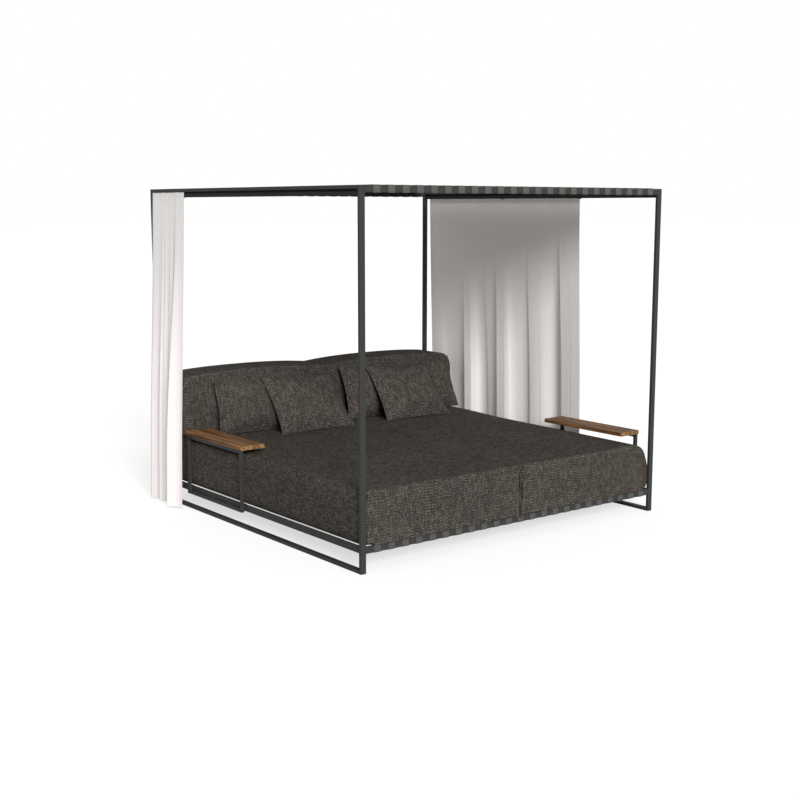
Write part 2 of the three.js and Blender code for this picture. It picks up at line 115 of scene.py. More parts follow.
def grainAt(tree, place, scales, detail=2.0):
    # noise drawn out along one direction
    return noiseAt(tree, vectorCalc(tree, "MULTIPLY", place, scales), 1.0, detail)


def chanceAt(tree, x, y):
    node = tree.nodes.new("ShaderNodeTexWhiteNoise")
    node.noise_dimensions = "2D"
    feed(tree, together(tree, x, y), node.inputs["Vector"])
    return node.outputs["Value"]


def between(tree, value, low, high):
    node = tree.nodes.new("ShaderNodeMapRange")
    node.interpolation_type = "SMOOTHSTEP"
    for part, socket in zip((value, low, high, 0.0, 1.0), node.inputs):
        feed(tree, part, socket)
    return node.outputs[0]


def mixed(tree, share, a, b, kind="RGBA", blend="MIX"):
    node = tree.nodes.new("ShaderNodeMix")
    node.data_type = kind
    if kind == "RGBA":
        node.blend_type = blend
    first, last = (6, 2) if kind == "RGBA" else (2, 0)
    for value, socket in ((share, node.inputs[0]), (a, node.inputs[first]), (b, node.inputs[first + 1])):
        feed(tree, value, socket)
    return node.outputs[last]


def darkened(tree, colour, tone):
    return mixed(tree, 1.0, colour, together(tree, tone, tone, tone), blend="MULTIPLY")


def tint(colour, share=1.0):
    return (*(share * c for c in colour), 1)


def shades(tree, value, stops):
    node = tree.nodes.new("ShaderNodeValToRGB")
    ramp = node.color_ramp
    while len(ramp.elements) < len(stops):
        ramp.elements.new(0.5)
    for element, (at, colour) in zip(ramp.elements, stops):
        element.position = at
        element.color = tint(colour)
    feed(tree, value, node.inputs[0])
    return node.outputs[0]


def newGroup(name, inputs, outputs):
    group = bpy.data.node_groups.new(name, "ShaderNodeTree")
    for label, value in inputs:
        kind = "NodeSocketVector" if value is None else "NodeSocketFloat"
        socket = group.interface.new_socket(name=label, in_out="INPUT", socket_type=kind)
        if value is not None:
            socket.default_value = value
    for label in outputs:
        group.interface.new_socket(name=label, in_out="OUTPUT", socket_type="NodeSocketFloat")
    start = group.nodes.new("NodeGroupInput").outputs
    end = group.nodes.new("NodeGroupOutput").inputs
    return group, start, end


def useGroup(tree, group, **values):
    node = tree.nodes.new("ShaderNodeGroup")
    node.node_tree = group
    for label, value in values.items():
        feed(tree, value, node.inputs[label])
    return node.outputs


def newMaterial(name):
    material = bpy.data.materials.new(name)
    material.use_nodes = True
    return material, material.node_tree, material.node_tree.nodes["Principled BSDF"].inputs


def raised(tree, shader, height, distance, strength):
    node = tree.nodes.new("ShaderNodeBump")
    node.inputs["Strength"].default_value = strength
    node.inputs["Distance"].default_value = distance
    feed(tree, height, node.inputs["Height"])
    tree.links.new(node.outputs["Normal"], shader["Normal"])


def objectPlace(tree):
    return tree.nodes.new("ShaderNodeTexCoord").outputs["Object"]


def clothPlace(tree):
    node = tree.nodes.new("ShaderNodeUVMap")
    node.uv_map = "cloth"
    return node.outputs["UV"]


def surfaceNormal(tree):
    return tree.nodes.new("ShaderNodeNewGeometry").outputs["Normal"]


# Camera, light and floor

studio = {
    "cameraPlace": (-5.033, -6.467, 1.9895), "heading": -37.92, "tilt": 81.10, "roll": 0.047,
    "lens": 55.67, "sensor": 36.0, "sky": 0.53, "key": 3.9, "keyFrom": (-0.38, -1.0, 0.49), "keySoftness": 24,
    "floorSide": 240.0, "floorLevel": -0.0005, "floorSeen": 0.4, "floorGlow": 0.64, "floorBounce": 0.45,
}
white = (1.0, 1.0, 1.0)


def addCamera():
    data = bpy.data.cameras.new("camera")
    data.sensor_width = studio["sensor"]
    data.lens = studio["lens"]
    camera = bpy.data.objects.new("camera", data)
    heading, tilt, roll = (Matrix.Rotation(math.radians(studio[name]), 4, axis)
                           for name, axis in (("heading", "Z"), ("tilt", "X"), ("roll", "Z")))
    camera.matrix_world = Matrix.Translation(studio["cameraPlace"]) @ heading @ tilt @ roll
    scene.collection.objects.link(camera)
    scene.camera = camera


def addLights():
    # the camera sees a white backdrop, and the object is lit by an even, dimmer sky
    world = bpy.data.worlds.new("studio")
    world.use_nodes = True
    tree = world.node_tree
    sky = tree.nodes["Background"]
    backdrop = tree.nodes.new("ShaderNodeBackground")
    sky.inputs["Strength"].default_value = studio["sky"]
    pick = tree.nodes.new("ShaderNodeMixShader")
    tree.links.new(tree.nodes.new("ShaderNodeLightPath").outputs["Is Camera Ray"], pick.inputs[0])
    for light, socket in ((sky, pick.inputs[1]), (backdrop, pick.inputs[2])):
        light.inputs["Color"].default_value = tint(white)
        tree.links.new(light.outputs[0], socket)
    tree.links.new(pick.outputs[0], tree.nodes["World Output"].inputs["Surface"])
    scene.world = world
    data = bpy.data.lights.new("key", "SUN")
    data.energy = studio["key"]
    data.angle = math.radians(studio["keySoftness"])
    key = bpy.data.objects.new("key", data)
    key.rotation_euler = Vector(studio["keyFrom"]).to_track_quat("Z", "Y").to_euler()
    scene.collection.objects.link(key)
    scene.view_settings.view_transform = "Standard"


def addFloor():
    # the camera sees the floor lighter than it lights the daybed
    material, tree, shader = newMaterial("floor")
    seen = tree.nodes.new("ShaderNodeLightPath").outputs["Is Camera Ray"]
    for low, high, target in ((studio["floorBounce"], studio["floorSeen"], "Base Color"),
                              (0.0, studio["floorGlow"], "Emission Color")):
        feed(tree, mixed(tree, seen, tint(white, low), tint(white, high)), shader[target])
    shader["Emission Strength"].default_value = 1.0
    shader["Roughness"].default_value = 1.0
    shader["Specular IOR Level"].default_value = 0.0
    half = studio["floorSide"] / 2
    mesh = bpy.data.meshes.new("floor")
    mesh.from_pydata([(-half, -half, 0), (half, -half, 0), (half, half, 0), (-half, half, 0)], [], [(0, 1, 2, 3)])
    mesh.materials.append(material)
    floor = bpy.data.objects.new("floor", mesh)
    floor.location.z = studio["floorLevel"]
    scene.collection.objects.link(floor)


addCamera()
addLights()
addFloor()
print("camera, light and floor set")


# Effects that several finishes share

yarns = {"driftScale": 0.35, "dip": 0.45, "shift": 9.0, "rowShift": 0.37, "seeds": (7.0, 3.0, 5.0)}


def makeWeave():
    tree, start, end = newGroup(
        "wovenYarn",
        [("Place", None), ("Pitch", 0.006), ("Slub", 5.0), ("Wander", 0.15), ("Stagger", 0.0)],
        ["Tone", "Height", "Warp"])
    columnSeed, warpSeed, weftSeed = yarns["seeds"]
    place = vectorCalc(tree, "SCALE", start["Place"], scale=calc(tree, "DIVIDE", 1.0, start["Pitch"]))
    drift = noiseAt(tree, place, yarns["driftScale"], 1.0)
    drift = times(tree, calc(tree, "SUBTRACT", drift, 0.5), start["Wander"])
    x, y, _ = apart(tree, place)
    x = calc(tree, "ADD", x, drift)
    column = chanceAt(tree, calc(tree, "FLOOR", x), columnSeed)
    y = calc(tree, "ADD", calc(tree, "SUBTRACT", y, drift), times(tree, column, start["Stagger"]))
    waveX, waveY = (calc(tree, "SINE", times(tree, part, math.pi)) for part in (x, y))
    over = calc(tree, "GREATER_THAN", times(tree, waveX, waveY), 0.0)
    hillX, hillY = (calc(tree, "ABSOLUTE", wave) for wave in (waveX, waveY))
    warp, weft = (times(tree, calc(tree, "SQRT", own), graded(tree, other, yarns["dip"], 1 - yarns["dip"]))
                  for own, other in ((hillX, hillY), (hillY, hillX)))
    rowX, rowY = (calc(tree, "FLOOR", part) for part in (x, y))
    alongWarp, alongWeft = (
        calc(tree, "FLOOR", calc(tree, "ADD", calc(tree, "DIVIDE", part, start["Slub"]),
                                 times(tree, chance, yarns["shift"])))
        for part, chance in ((y, chanceAt(tree, rowX, warpSeed)), (x, chanceAt(tree, weftSeed, rowY))))
    warpTone = chanceAt(tree, rowX, alongWarp)
    weftTone = chanceAt(tree, alongWeft, calc(tree, "ADD", rowY, yarns["rowShift"]))
    feed(tree, mixed(tree, over, weftTone, warpTone, "FLOAT"), end["Tone"])
    feed(tree, mixed(tree, over, weft, warp, "FLOAT"), end["Height"])
    feed(tree, over, end["Warp"])
    return tree


rubbedEdge = {"samples": 6, "turn": (0.995, 0.86), "grain": (38.0, 3.0), "patches": (0.42, 0.66)}


def makeEdgeWear():
    tree, start, end = newGroup("edgeWear", [("Place", None), ("Reach", 0.002), ("Amount", 0.6)], ["Mask"])
    bevel = tree.nodes.new("ShaderNodeBevel")
    bevel.samples = rubbedEdge["samples"]
    feed(tree, start["Reach"], bevel.inputs["Radius"])
    turn = vectorCalc(tree, "DOT_PRODUCT", bevel.outputs["Normal"], surfaceNormal(tree))
    edge = between(tree, turn, *rubbedEdge["turn"])
    patch = between(tree, noiseAt(tree, start["Place"], *rubbedEdge["grain"]), *rubbedEdge["patches"])
    feed(tree, times(tree, times(tree, edge, patch), start["Amount"]), end["Mask"])
    return tree


fallenDust = {"upward": (0.3, 0.95), "grain": (4.0, 0.6), "patches": (0.35, 0.75)}


def makeDust():
    tree, start, end = newGroup(
        "settledDust", [("Place", None), ("Amount", 0.3), ("Scale", 6.0)], ["Mask", "Cloud"])
    upward = between(tree, apart(tree, surfaceNormal(tree))[2], *fallenDust["upward"])
    cloud = noiseAt(tree, start["Place"], start["Scale"], *fallenDust["grain"])
    patch = between(tree, cloud, *fallenDust["patches"])
    feed(tree, times(tree, times(tree, upward, patch), start["Amount"]), end["Mask"])
    feed(tree, cloud, end["Cloud"])
    return tree


weave = makeWeave()
edgeWear = makeEdgeWear()
dust = makeDust()


def dusted(tree, finish):
    return useGroup(tree, dust, Place=objectPlace(tree), Amount=finish["dust"], Scale=finish["dustScale"])


def worn(tree, finish, place):
    return useGroup(tree, edgeWear, Place=place, Reach=finish["wearReach"], Amount=finish["wear"])["Mask"]


def woven(tree, finish, place):
    return useGroup(tree, weave, Place=place, Pitch=finish["pitch"], Slub=finish["slub"],
                    Wander=finish["wander"], Stagger=finish.get("stagger", 0.0))


def mottled(tree, share, finish):
    return mixed(tree, share, *(tint(finish["colour"], part) for part in finish["mottle"]))


def coverWithDust(tree, shader, settled, colour, finish):
    feed(tree, mixed(tree, settled["Mask"], colour, tint(finish["dusty"])), shader["Base Color"])


def finishCloth(tree, shader, cloth, yarn, colour, tone, height):
    # the clouds of the dust shade the cloth too
    settled = dusted(tree, cloth)
    tone = times(tree, tone, graded(tree, settled["Cloud"], *cloth["cloud"]))
    coverWithDust(tree, shader, settled, darkened(tree, colour, tone), cloth)
    feed(tree, graded(tree, yarn["Height"], *cloth["roughness"]), shader["Roughness"])
    raised(tree, shader, height, *cloth["relief"])


# Finishes

frameMetal = {"colour": (0.033, 0.034, 0.034), "worn": (0.08, 0.082, 0.081), "dusty": (0.09, 0.088, 0.082),
              "mottle": (0.9, 1.1), "wear": 0.5, "wearReach": 0.0018, "dust": 0.15, "dustScale": 9.0,
              "peel": (0.00012, 0.5), "peelScale": 520.0, "roughness": (0.12, 0.44), "dustRough": 0.6,
              "specular": 0.3, "metallic": 0.15}


def makeFrameMetal():
    material, tree, shader = newMaterial("frameMetal")
    place = objectPlace(tree)
    settled = dusted(tree, frameMetal)
    colour = mottled(tree, settled["Cloud"], frameMetal)
    colour = mixed(tree, worn(tree, frameMetal, place), colour, tint(frameMetal["worn"]))
    coverWithDust(tree, shader, settled, colour, frameMetal)
    peel = noiseAt(tree, place, frameMetal["peelScale"])
    rough = graded(tree, peel, *frameMetal["roughness"])
    feed(tree, graded(tree, settled["Mask"], frameMetal["dustRough"], rough), shader["Roughness"])
    raised(tree, shader, peel, *frameMetal["peel"])
    shader["Specular IOR Level"].default_value = frameMetal["specular"]
    shader["Metallic"].default_value = frameMetal["metallic"]
    return material


# the gap colour is not a real gap but a painted shade at the top of the track, faded in over the given heights
trackMetal = {"colour": (0.02, 0.0205, 0.0205), "mottle": (0.8, 1.2), "grain": (90.0, 3.0),
              "gap": (0.002, 0.002, 0.002), "paintedShadeFrom": (2.065, 2.069), "roughness": (0.1, 0.55), "specular": 0.1}


def makeTrackMetal():
    # the upper part of the track is painted near black: a painted shade standing for the shadow under the rail
    material, tree, shader = newMaterial("trackMetal")
    place = objectPlace(tree)
    grain = noiseAt(tree, place, *trackMetal["grain"])
    colour = mottled(tree, grain, trackMetal)
    # painted shade: the colour turns near black towards the top of the track
    paintedShadeBand = between(tree, apart(tree, place)[2], *trackMetal["paintedShadeFrom"])
    feed(tree, mixed(tree, paintedShadeBand, colour, tint(trackMetal["gap"])), shader["Base Color"])
    feed(tree, graded(tree, grain, *trackMetal["roughness"]), shader["Roughness"])
    shader["Specular IOR Level"].default_value = trackMetal["specular"]
    return material


cushionCloth = {"pitch": 0.0085, "widen": 0.9, "slub": 3.0, "wander": 0.45, "stagger": 0.9, "chance": 0.6,
                "stops": ((0.0, (0.028, 0.0237, 0.02)), (0.3, (0.0465, 0.04, 0.0344)),
                          (0.65, (0.078, 0.068, 0.059)), (1.0, (0.143, 0.128, 0.112))),
                "shadow": (0.75, 0.3), "cloud": (0.4, 0.8), "dusty": (0.08, 0.07, 0.058), "dust": 0.05,
                "dustScale": 3.0, "roughness": (-0.05, 0.97), "relief": (0.0012, 0.8), "specular": 0.03}


def makeCushionCloth():
    material, tree, shader = newMaterial("cushionCloth")
    place = vectorCalc(tree, "MULTIPLY", clothPlace(tree), (cushionCloth["widen"], 1.0, 1.0))
    yarn = woven(tree, cushionCloth, place)
    chance = cushionCloth["chance"]
    blend = graded(tree, yarn["Tone"], chance, times(tree, yarn["Warp"], 1 - chance))
    colour = shades(tree, blend, cushionCloth["stops"])
    shadow = graded(tree, yarn["Height"], *cushionCloth["shadow"])
    finishCloth(tree, shader, cushionCloth, yarn, colour, shadow, yarn["Height"])
    shader["Specular IOR Level"].default_value = cushionCloth["specular"]
    return material


seamThread = {"colour": (0.08, 0.0705, 0.0615), "mottle": (0.75, 1.4), "stitch": 0.006, "twist": (-0.4, 0.7),
              "roughness": 0.9, "relief": (0.0008, 0.7), "sides": 6}


def makeSeamCloth():
    material, tree, shader = newMaterial("seamCloth")
    x, y, _ = apart(tree, clothPlace(tree))
    twist = calc(tree, "SINE", times(tree, calc(tree, "ADD", x, y), 2 * math.pi / seamThread["stitch"]))
    share = between(tree, twist, *seamThread["twist"])
    feed(tree, mottled(tree, share, seamThread), shader["Base Color"])
    shader["Roughness"].default_value = seamThread["roughness"]
    raised(tree, shader, share, *seamThread["relief"])
    return material


webbing = {"roof": (0.07, 0.074, 0.061), "base": (0.06, 0.058, 0.053), "pitch": 0.0024, "slub": 2.0, "wander": 0.1,
           "border": (0.0195, 0.0215), "borderTone": -0.18, "toneSpread": (0.5, 0.72), "shadow": (0.4, 0.66),
           "cloud": (0.4, 0.8), "dusty": (0.2, 0.19, 0.17), "dust": 0.18, "dustScale": 5.0,
           "roughness": (-0.1, 0.9), "relief": (0.0006, 0.7), "sheen": 0.1}


def makeWebbing(name, colour):
    material, tree, shader = newMaterial(name)
    place = clothPlace(tree)
    yarn = woven(tree, webbing, place)
    border = between(tree, calc(tree, "ABSOLUTE", apart(tree, place)[0]), *webbing["border"])
    tone = graded(tree, yarn["Tone"], *webbing["toneSpread"])
    tone = times(tree, tone, graded(tree, yarn["Height"], *webbing["shadow"]))
    tone = times(tree, tone, graded(tree, border, webbing["borderTone"], 1.0))
    finishCloth(tree, shader, webbing, yarn, tint(colour), tone, calc(tree, "ADD", yarn["Height"], border))
    shader["Sheen Weight"].default_value = webbing["sheen"]
    return material


canopyCloth = {"colour": (0.03, 0.03, 0.028), "pitch": 0.0016, "slub": 6.0, "wander": 0.1, "toneSpread": (0.4, 0.8),
               "cloud": (0.6, 0.7), "dusty": (0.14, 0.13, 0.115), "dust": 0.25, "dustScale": 2.0,
               "roughness": (-0.1, 0.92), "relief": (0.0004, 0.6)}


def makeCanopyCloth():
    material, tree, shader = newMaterial("canopyCloth")
    yarn = woven(tree, canopyCloth, clothPlace(tree))
    tone = graded(tree, yarn["Tone"], *canopyCloth["toneSpread"])
    finishCloth(tree, shader, canopyCloth, yarn, tint(canopyCloth["colour"]), tone, yarn["Height"])
    return material


curtainCloth = {"colour": (0.912, 0.872, 0.85), "pitch": 0.0014, "slub": 9.0, "wander": 0.2,
                "streak": (60.0, 2.5, 1.0), "toneSpread": (0.06, 0.96), "roughness": (-0.08, 0.9),
                "relief": (0.0003, 0.5), "sheen": 0.1, "specular": 0.2, "letsThrough": 0.2}


def makeCurtainCloth():
    material, tree, shader = newMaterial("curtainCloth")
    place = clothPlace(tree)
    yarn = woven(tree, curtainCloth, place)
    streak = grainAt(tree, place, curtainCloth["streak"], 3.0)
    tone = times(tree, *(graded(tree, part, *curtainCloth["toneSpread"]) for part in (yarn["Tone"], streak)))
    colour = darkened(tree, tint(curtainCloth["colour"]), tone)
    feed(tree, colour, shader["Base Color"])
    feed(tree, graded(tree, yarn["Height"], *curtainCloth["roughness"]), shader["Roughness"])
    raised(tree, shader, yarn["Height"], *curtainCloth["relief"])
    shader["Sheen Weight"].default_value = curtainCloth["sheen"]
    shader["Specular IOR Level"].default_value = curtainCloth["specular"]
    through = tree.nodes.new("ShaderNodeBsdfTranslucent")
    feed(tree, colour, through.inputs["Color"])
    mix = tree.nodes.new("ShaderNodeMixShader")
    mix.inputs[0].default_value = curtainCloth["letsThrough"]
    tree.links.new(tree.nodes["Principled BSDF"].outputs[0], mix.inputs[1])
    tree.links.new(through.outputs[0], mix.inputs[2])
    tree.links.new(mix.outputs[0], tree.nodes["Material Output"].inputs["Surface"])
    return material


teak = {"dark": (0.035, 0.014, 0.005), "middle": (0.13, 0.06, 0.021), "pale": (0.27, 0.14, 0.055),
        "worn": (0.3, 0.19, 0.1), "dusty": (0.3, 0.24, 0.18), "wear": 0.5, "wearReach": 0.003, "dust": 0.05,
        "dustScale": 12.0, "outerEdge": 1.198, "joints": (0.047, 0.087, 0.119), "jointEdge": (0.0009, 0.0002),
        "ringShades": (0.34, 0.48, 0.68), "endShades": (0.36, 0.5), "rings": (70.0, 2.2, 60.0),
        "bend": (9.0, 1.6, 9.0), "pores": (900.0, 30.0, 900.0),
        "endSpots": (160.0, 1.0, 60.0), "endFace": (0.6, 0.8), "poreEdge": (0.62, 0.72), "stripTone": (0.45, 0.72),
        "stripShift": (3.0, 7.0), "swing": 3.0, "poreTone": -0.4, "grooveTone": -0.75, "ringRise": 0.3,
        "roughness": (0.2, 0.45), "relief": (0.0006, 0.7), "specular": 0.2}


def makeTeak():
    material, tree, shader = newMaterial("teak")
    place = objectPlace(tree)
    x, y, z = apart(tree, place)
    across = calc(tree, "SUBTRACT", teak["outerEdge"], calc(tree, "ABSOLUTE", x))
    strip = groove = 0.0
    for joint in teak["joints"]:
        strip = calc(tree, "ADD", strip, calc(tree, "GREATER_THAN", across, joint))
        near = between(tree, calc(tree, "ABSOLUTE", calc(tree, "SUBTRACT", across, joint)), *teak["jointEdge"])
        groove = calc(tree, "MAXIMUM", groove, near)
    chance = chanceAt(tree, strip, calc(tree, "GREATER_THAN", x, 0.0))
    # each strip is cut from another place in the trunk
    shiftX, shiftY = teak["stripShift"]
    shifted = together(tree, graded(tree, chance, shiftX, across), graded(tree, chance, shiftY, y), z)
    bend = together(tree, times(tree, grainAt(tree, shifted, teak["bend"]), teak["swing"]), 0.0)
    rings = noiseAt(tree, vectorCalc(tree, "ADD", vectorCalc(tree, "MULTIPLY", shifted, teak["rings"]), bend),
                    1.0, 3.0, 0.55)
    pore = between(tree, grainAt(tree, shifted, teak["pores"]), *teak["poreEdge"])
    colour = shades(tree, rings, list(zip(teak["ringShades"], (teak["dark"], teak["middle"], teak["pale"]))))
    endFace = between(tree, calc(tree, "ABSOLUTE", apart(tree, surfaceNormal(tree))[1]), *teak["endFace"])
    spots = grainAt(tree, shifted, teak["endSpots"])
    endColour = shades(tree, spots, list(zip(teak["endShades"], (teak["dark"], teak["pale"]))))
    colour = mixed(tree, endFace, colour, endColour)
    tone = graded(tree, chance, *teak["stripTone"])
    for mark, depth in ((pore, teak["poreTone"]), (groove, teak["grooveTone"])):
        tone = times(tree, tone, graded(tree, mark, depth, 1.0))
    colour = darkened(tree, colour, tone)
    colour = mixed(tree, worn(tree, teak, place), colour, tint(teak["worn"]))
    coverWithDust(tree, shader, dusted(tree, teak), colour, teak)
    feed(tree, graded(tree, rings, *teak["roughness"]), shader["Roughness"])
    height = calc(tree, "SUBTRACT", times(tree, rings, teak["ringRise"]), calc(tree, "ADD", pore, groove))
    raised(tree, shader, height, *teak["relief"])
    shader["Specular IOR Level"].default_value = teak["specular"]
    return material


gliderPlastic = {"colour": (0.02, 0.02, 0.02), "scuffed": (0.06, 0.06, 0.058), "scuffs": (400.0, 25.0, 400.0),
                 "scuffEdge": (0.55, 0.7), "grit": 700.0, "roughness": (0.2, 0.5), "relief": (0.0001, 0.4)}


def makeGliderPlastic():
    material, tree, shader = newMaterial("gliderPlastic")
    place = objectPlace(tree)
    scuffs = between(tree, grainAt(tree, place, gliderPlastic["scuffs"], 3.0), *gliderPlastic["scuffEdge"])
    colour = mixed(tree, scuffs, tint(gliderPlastic["colour"]), tint(gliderPlastic["scuffed"]))
    feed(tree, colour, shader["Base Color"])
    feed(tree, graded(tree, scuffs, *gliderPlastic["roughness"]), shader["Roughness"])
    raised(tree, shader, noiseAt(tree, place, gliderPlastic["grit"]), *gliderPlastic["relief"])
    return material


frameMaterial = makeFrameMetal()
trackMaterial = makeTrackMetal()
cushionMaterial = makeCushionCloth()
seamMaterial = makeSeamCloth()
roofWebbing = makeWebbing("roofWebbing", webbing["roof"])
baseWebbing = makeWebbing("baseWebbing", webbing["base"])
canopyMaterial = makeCanopyCloth()
curtainMaterial = makeCurtainCloth()
teakMaterial = makeTeak()
gliderMaterial = makeGliderPlastic()
print("finishes made:", len(bpy.data.materials))


# Small tools for meshes

def newPiece(name, points, faces, material, body="frame"):
    mesh = bpy.data.meshes.new(name)
    mesh.from_pydata(np.asarray(points).tolist(), [], [list(map(int, f)) for f in faces])
    mesh.materials.append(material)
    mesh.validate()
    mesh.polygons.foreach_set("use_smooth", [True] * len(mesh.polygons))
    piece = bpy.data.objects.new(name, mesh)
    scene.collection.objects.link(piece)
    if body:
        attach(piece, body)
    return piece


def boxOf(node):
    return (np.array(corner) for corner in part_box(node))


def smooth(value, low, high):
    t = np.clip((value - low) / (high - low), 0, 1)
    return t * t * (3 - 2 * t)


def gridFaces(grid, flip=False):
    # faces over a grid of point numbers
    corners = [grid[:-1, :-1], grid[1:, :-1], grid[1:, 1:], grid[:-1, 1:]]
    if flip:
        corners[1], corners[3] = corners[3], corners[1]
    return np.stack(corners, axis=-1).reshape(-1, 4).tolist()


def unitGrid(across, along):
    return np.meshgrid(np.linspace(0, 1, across + 1), np.linspace(0, 1, along + 1), indexing="ij")


def sheetOf(x, y, z):
    points = np.stack([x, y, z], axis=-1).reshape(-1, 3)
    return points, gridFaces(np.arange(len(points)).reshape(x.shape))


def tubeGrid(rows, sides):
    grid = np.arange(rows * sides).reshape(rows, sides)
    return np.hstack([grid, grid[:, :1]])


def lengthsAlong(path):
    return np.concatenate([[0], np.cumsum(np.linalg.norm(np.diff(path, axis=0), axis=1))])


def pointsOf(mesh):
    flat = np.empty(3 * len(mesh.vertices))
    mesh.vertices.foreach_get("co", flat)
    return flat.reshape(-1, 3)


def cornersOf(mesh):
    corner = np.empty(len(mesh.loops), int)
    mesh.loops.foreach_get("vertex_index", corner)
    return corner


def putCloth(mesh, across, along):
    # the place of each corner on the flat cloth
    layer = mesh.uv_layers.get("cloth") or mesh.uv_layers.new(name="cloth")
    layer.data.foreach_set("uv", np.column_stack([across, along]).astype(np.float32).ravel())


def grownMesh(piece):
    graph = bpy.context.evaluated_depsgraph_get()
    return bpy.data.meshes.new_from_object(piece.evaluated_get(graph), preserve_all_data_layers=True, depsgraph=graph)


def settle(piece):
    # the modifiers become part of the mesh
    old = piece.data
    mesh = grownMesh(piece)
    piece.modifiers.clear()
    piece.data = mesh
    bpy.data.meshes.remove(old)
    mesh.name = piece.name


clothShift = {"side": 0.4, "front": 0.7}


def layCloth(piece, axes=np.eye(3)):
    # the weave runs front to back on the top and the sides, and upright on the front
    mesh = piece.data
    normals = np.empty(3 * len(mesh.polygons))
    mesh.polygons.foreach_get("normal", normals)
    counts = np.empty(len(mesh.polygons), int)
    mesh.polygons.foreach_get("loop_total", counts)
    facing = np.repeat(np.abs(normals.reshape(-1, 3) @ axes.T).argmax(axis=1), counts)
    x, y, z = (pointsOf(mesh) @ axes.T)[cornersOf(mesh)].T
    putCloth(mesh, np.where(facing == 0, z + clothShift["side"], x),
             np.where(facing == 1, z, y - clothShift["front"]))


def cordRings(path, radius):
    path = np.asarray(path, float)
    ahead = np.roll(path, -1, axis=0) - np.roll(path, 1, axis=0)
    ahead /= np.linalg.norm(ahead, axis=1)[:, None]
    side = np.cross(ahead[0], (0.31, 0.17, 0.93))  # any direction across the path
    points = []
    for spot, forward in zip(path, ahead):
        side = side - forward * (side @ forward)
        side /= np.linalg.norm(side)
        up = np.cross(forward, side)
        for k in range(seamThread["sides"]):
            turn = 2 * math.pi * k / seamThread["sides"]
            points.append(spot + radius * (math.cos(turn) * side + math.sin(turn) * up))
    grid = tubeGrid(len(path), seamThread["sides"])
    return points, gridFaces(np.vstack([grid, grid[:1]]), flip=True)


def sewSeam(piece, paths, radius):
    # a welt along each path, half sunk in the cover
    cover = piece.data
    points = [tuple(v.co) for v in cover.vertices]
    faces = [list(p.vertices) for p in cover.polygons]
    surface = BVHTree.FromPolygons([v.co for v in cover.vertices], [p.vertices for p in cover.polygons])
    coverFaces = len(faces)
    for path in paths:
        on = np.array([surface.find_nearest(Vector(p))[0] for p in path])
        weltPoints, weltFaces = cordRings(on, radius)
        faces += [[len(points) + k for k in face] for face in weltFaces]
        points += [tuple(p) for p in weltPoints]
    spot = np.array(points)[np.ravel(faces[coverFaces:])]
    coverCloth = np.empty(2 * len(cover.loops), np.float32)
    cover.uv_layers["cloth"].data.foreach_get("uv", coverCloth)
    cloth = np.vstack([coverCloth.reshape(-1, 2), np.column_stack([spot[:, 0] + spot[:, 1], spot[:, 2]])])
    joined = bpy.data.meshes.new(piece.name)
    joined.from_pydata(points, [], faces)
    joined.materials.append(cover.materials[0])
    joined.materials.append(seamMaterial)
    joined.polygons.foreach_set("material_index", [0] * coverFaces + [1] * (len(faces) - coverFaces))
    joined.polygons.foreach_set("use_smooth", [True] * len(faces))
    putCloth(joined, *cloth.T)
    joined.update()
    piece.data = joined
    bpy.data.meshes.remove(cover)


# Blocks of foam with a sewn cover: a rounded outline, seen from the front, that runs from front to back

innerEase = 0.05  # share of the edge rounding that the two halves keep where they meet


def cornerRun(corner, reach, first, last, count):
    angles = np.radians(np.linspace(first, last, count + 1))
    points = np.array(corner) + np.column_stack([reach[0] * np.cos(angles), reach[1] * np.sin(angles)])
    normals = np.column_stack([np.cos(angles) / reach[0], np.sin(angles) / reach[1]])
    return points, normals / np.linalg.norm(normals, axis=1)[:, None]


def blockOutline(width, tall, corners, bend, flats):
    # corners: innerBottom, outerBottom, outerTop, innerTop, each as (run, rise)
    spots = [(width - run if k in (1, 2) else run, tall - rise if k > 1 else rise)
             for k, (run, rise) in enumerate(corners)]
    points, normals = [], []
    for k in range(4):
        start = 180 + 90 * k
        here, hereNormal = cornerRun(spots[k], corners[k], start + 45, start + 90, bend)
        nextOne = (k + 1) % 4
        there, thereNormal = cornerRun(spots[nextOne], corners[nextOne], start + 90, start + 135, bend)
        share = np.linspace(0, 1, flats[k % 2] + 1)[1:-1, None]
        line = here[-1] * (1 - share) + there[0] * share
        lineNormal = np.repeat(hereNormal[-1:], len(line), axis=0)
        points.append(np.vstack([here, line, there[:-1]]))
        normals.append(np.vstack([hereNormal, lineNormal, thereNormal[:-1]]))
    return np.vstack(points), np.vstack(normals)


def coverEnd(loop, base, first, across, up):
    # a flat end spread between the four sides of its outline
    index = np.empty((across + 1, up + 1), int)
    i, j = np.arange(across + 1), np.arange(up + 1)
    index[:, 0] = base + i
    index[:, up] = base + 2 * across + up - i
    index[across] = base + across + j
    index[0] = base + (len(loop) - j) % len(loop)
    bottom, top = (loop[index[1:-1, k] - base][:, None] for k in (0, up))
    inner, outer = (loop[index[k, 1:-1] - base][None] for k in (0, across))
    at = lambda a, b: loop[index[a, b] - base]
    s, t = (i[1:-1] / across)[:, None, None], (j[1:-1] / up)[None, :, None]
    spot = ((1 - t) * bottom + t * top + (1 - s) * inner + s * outer
            - (1 - s) * (1 - t) * at(0, 0) - s * (1 - t) * at(across, 0)
            - (1 - s) * t * at(0, up) - s * t * at(across, up))
    index[1:-1, 1:-1] = first + np.arange((across - 1) * (up - 1)).reshape(across - 1, up - 1)
    return spot.reshape(-1, 3), gridFaces(index, flip=True)


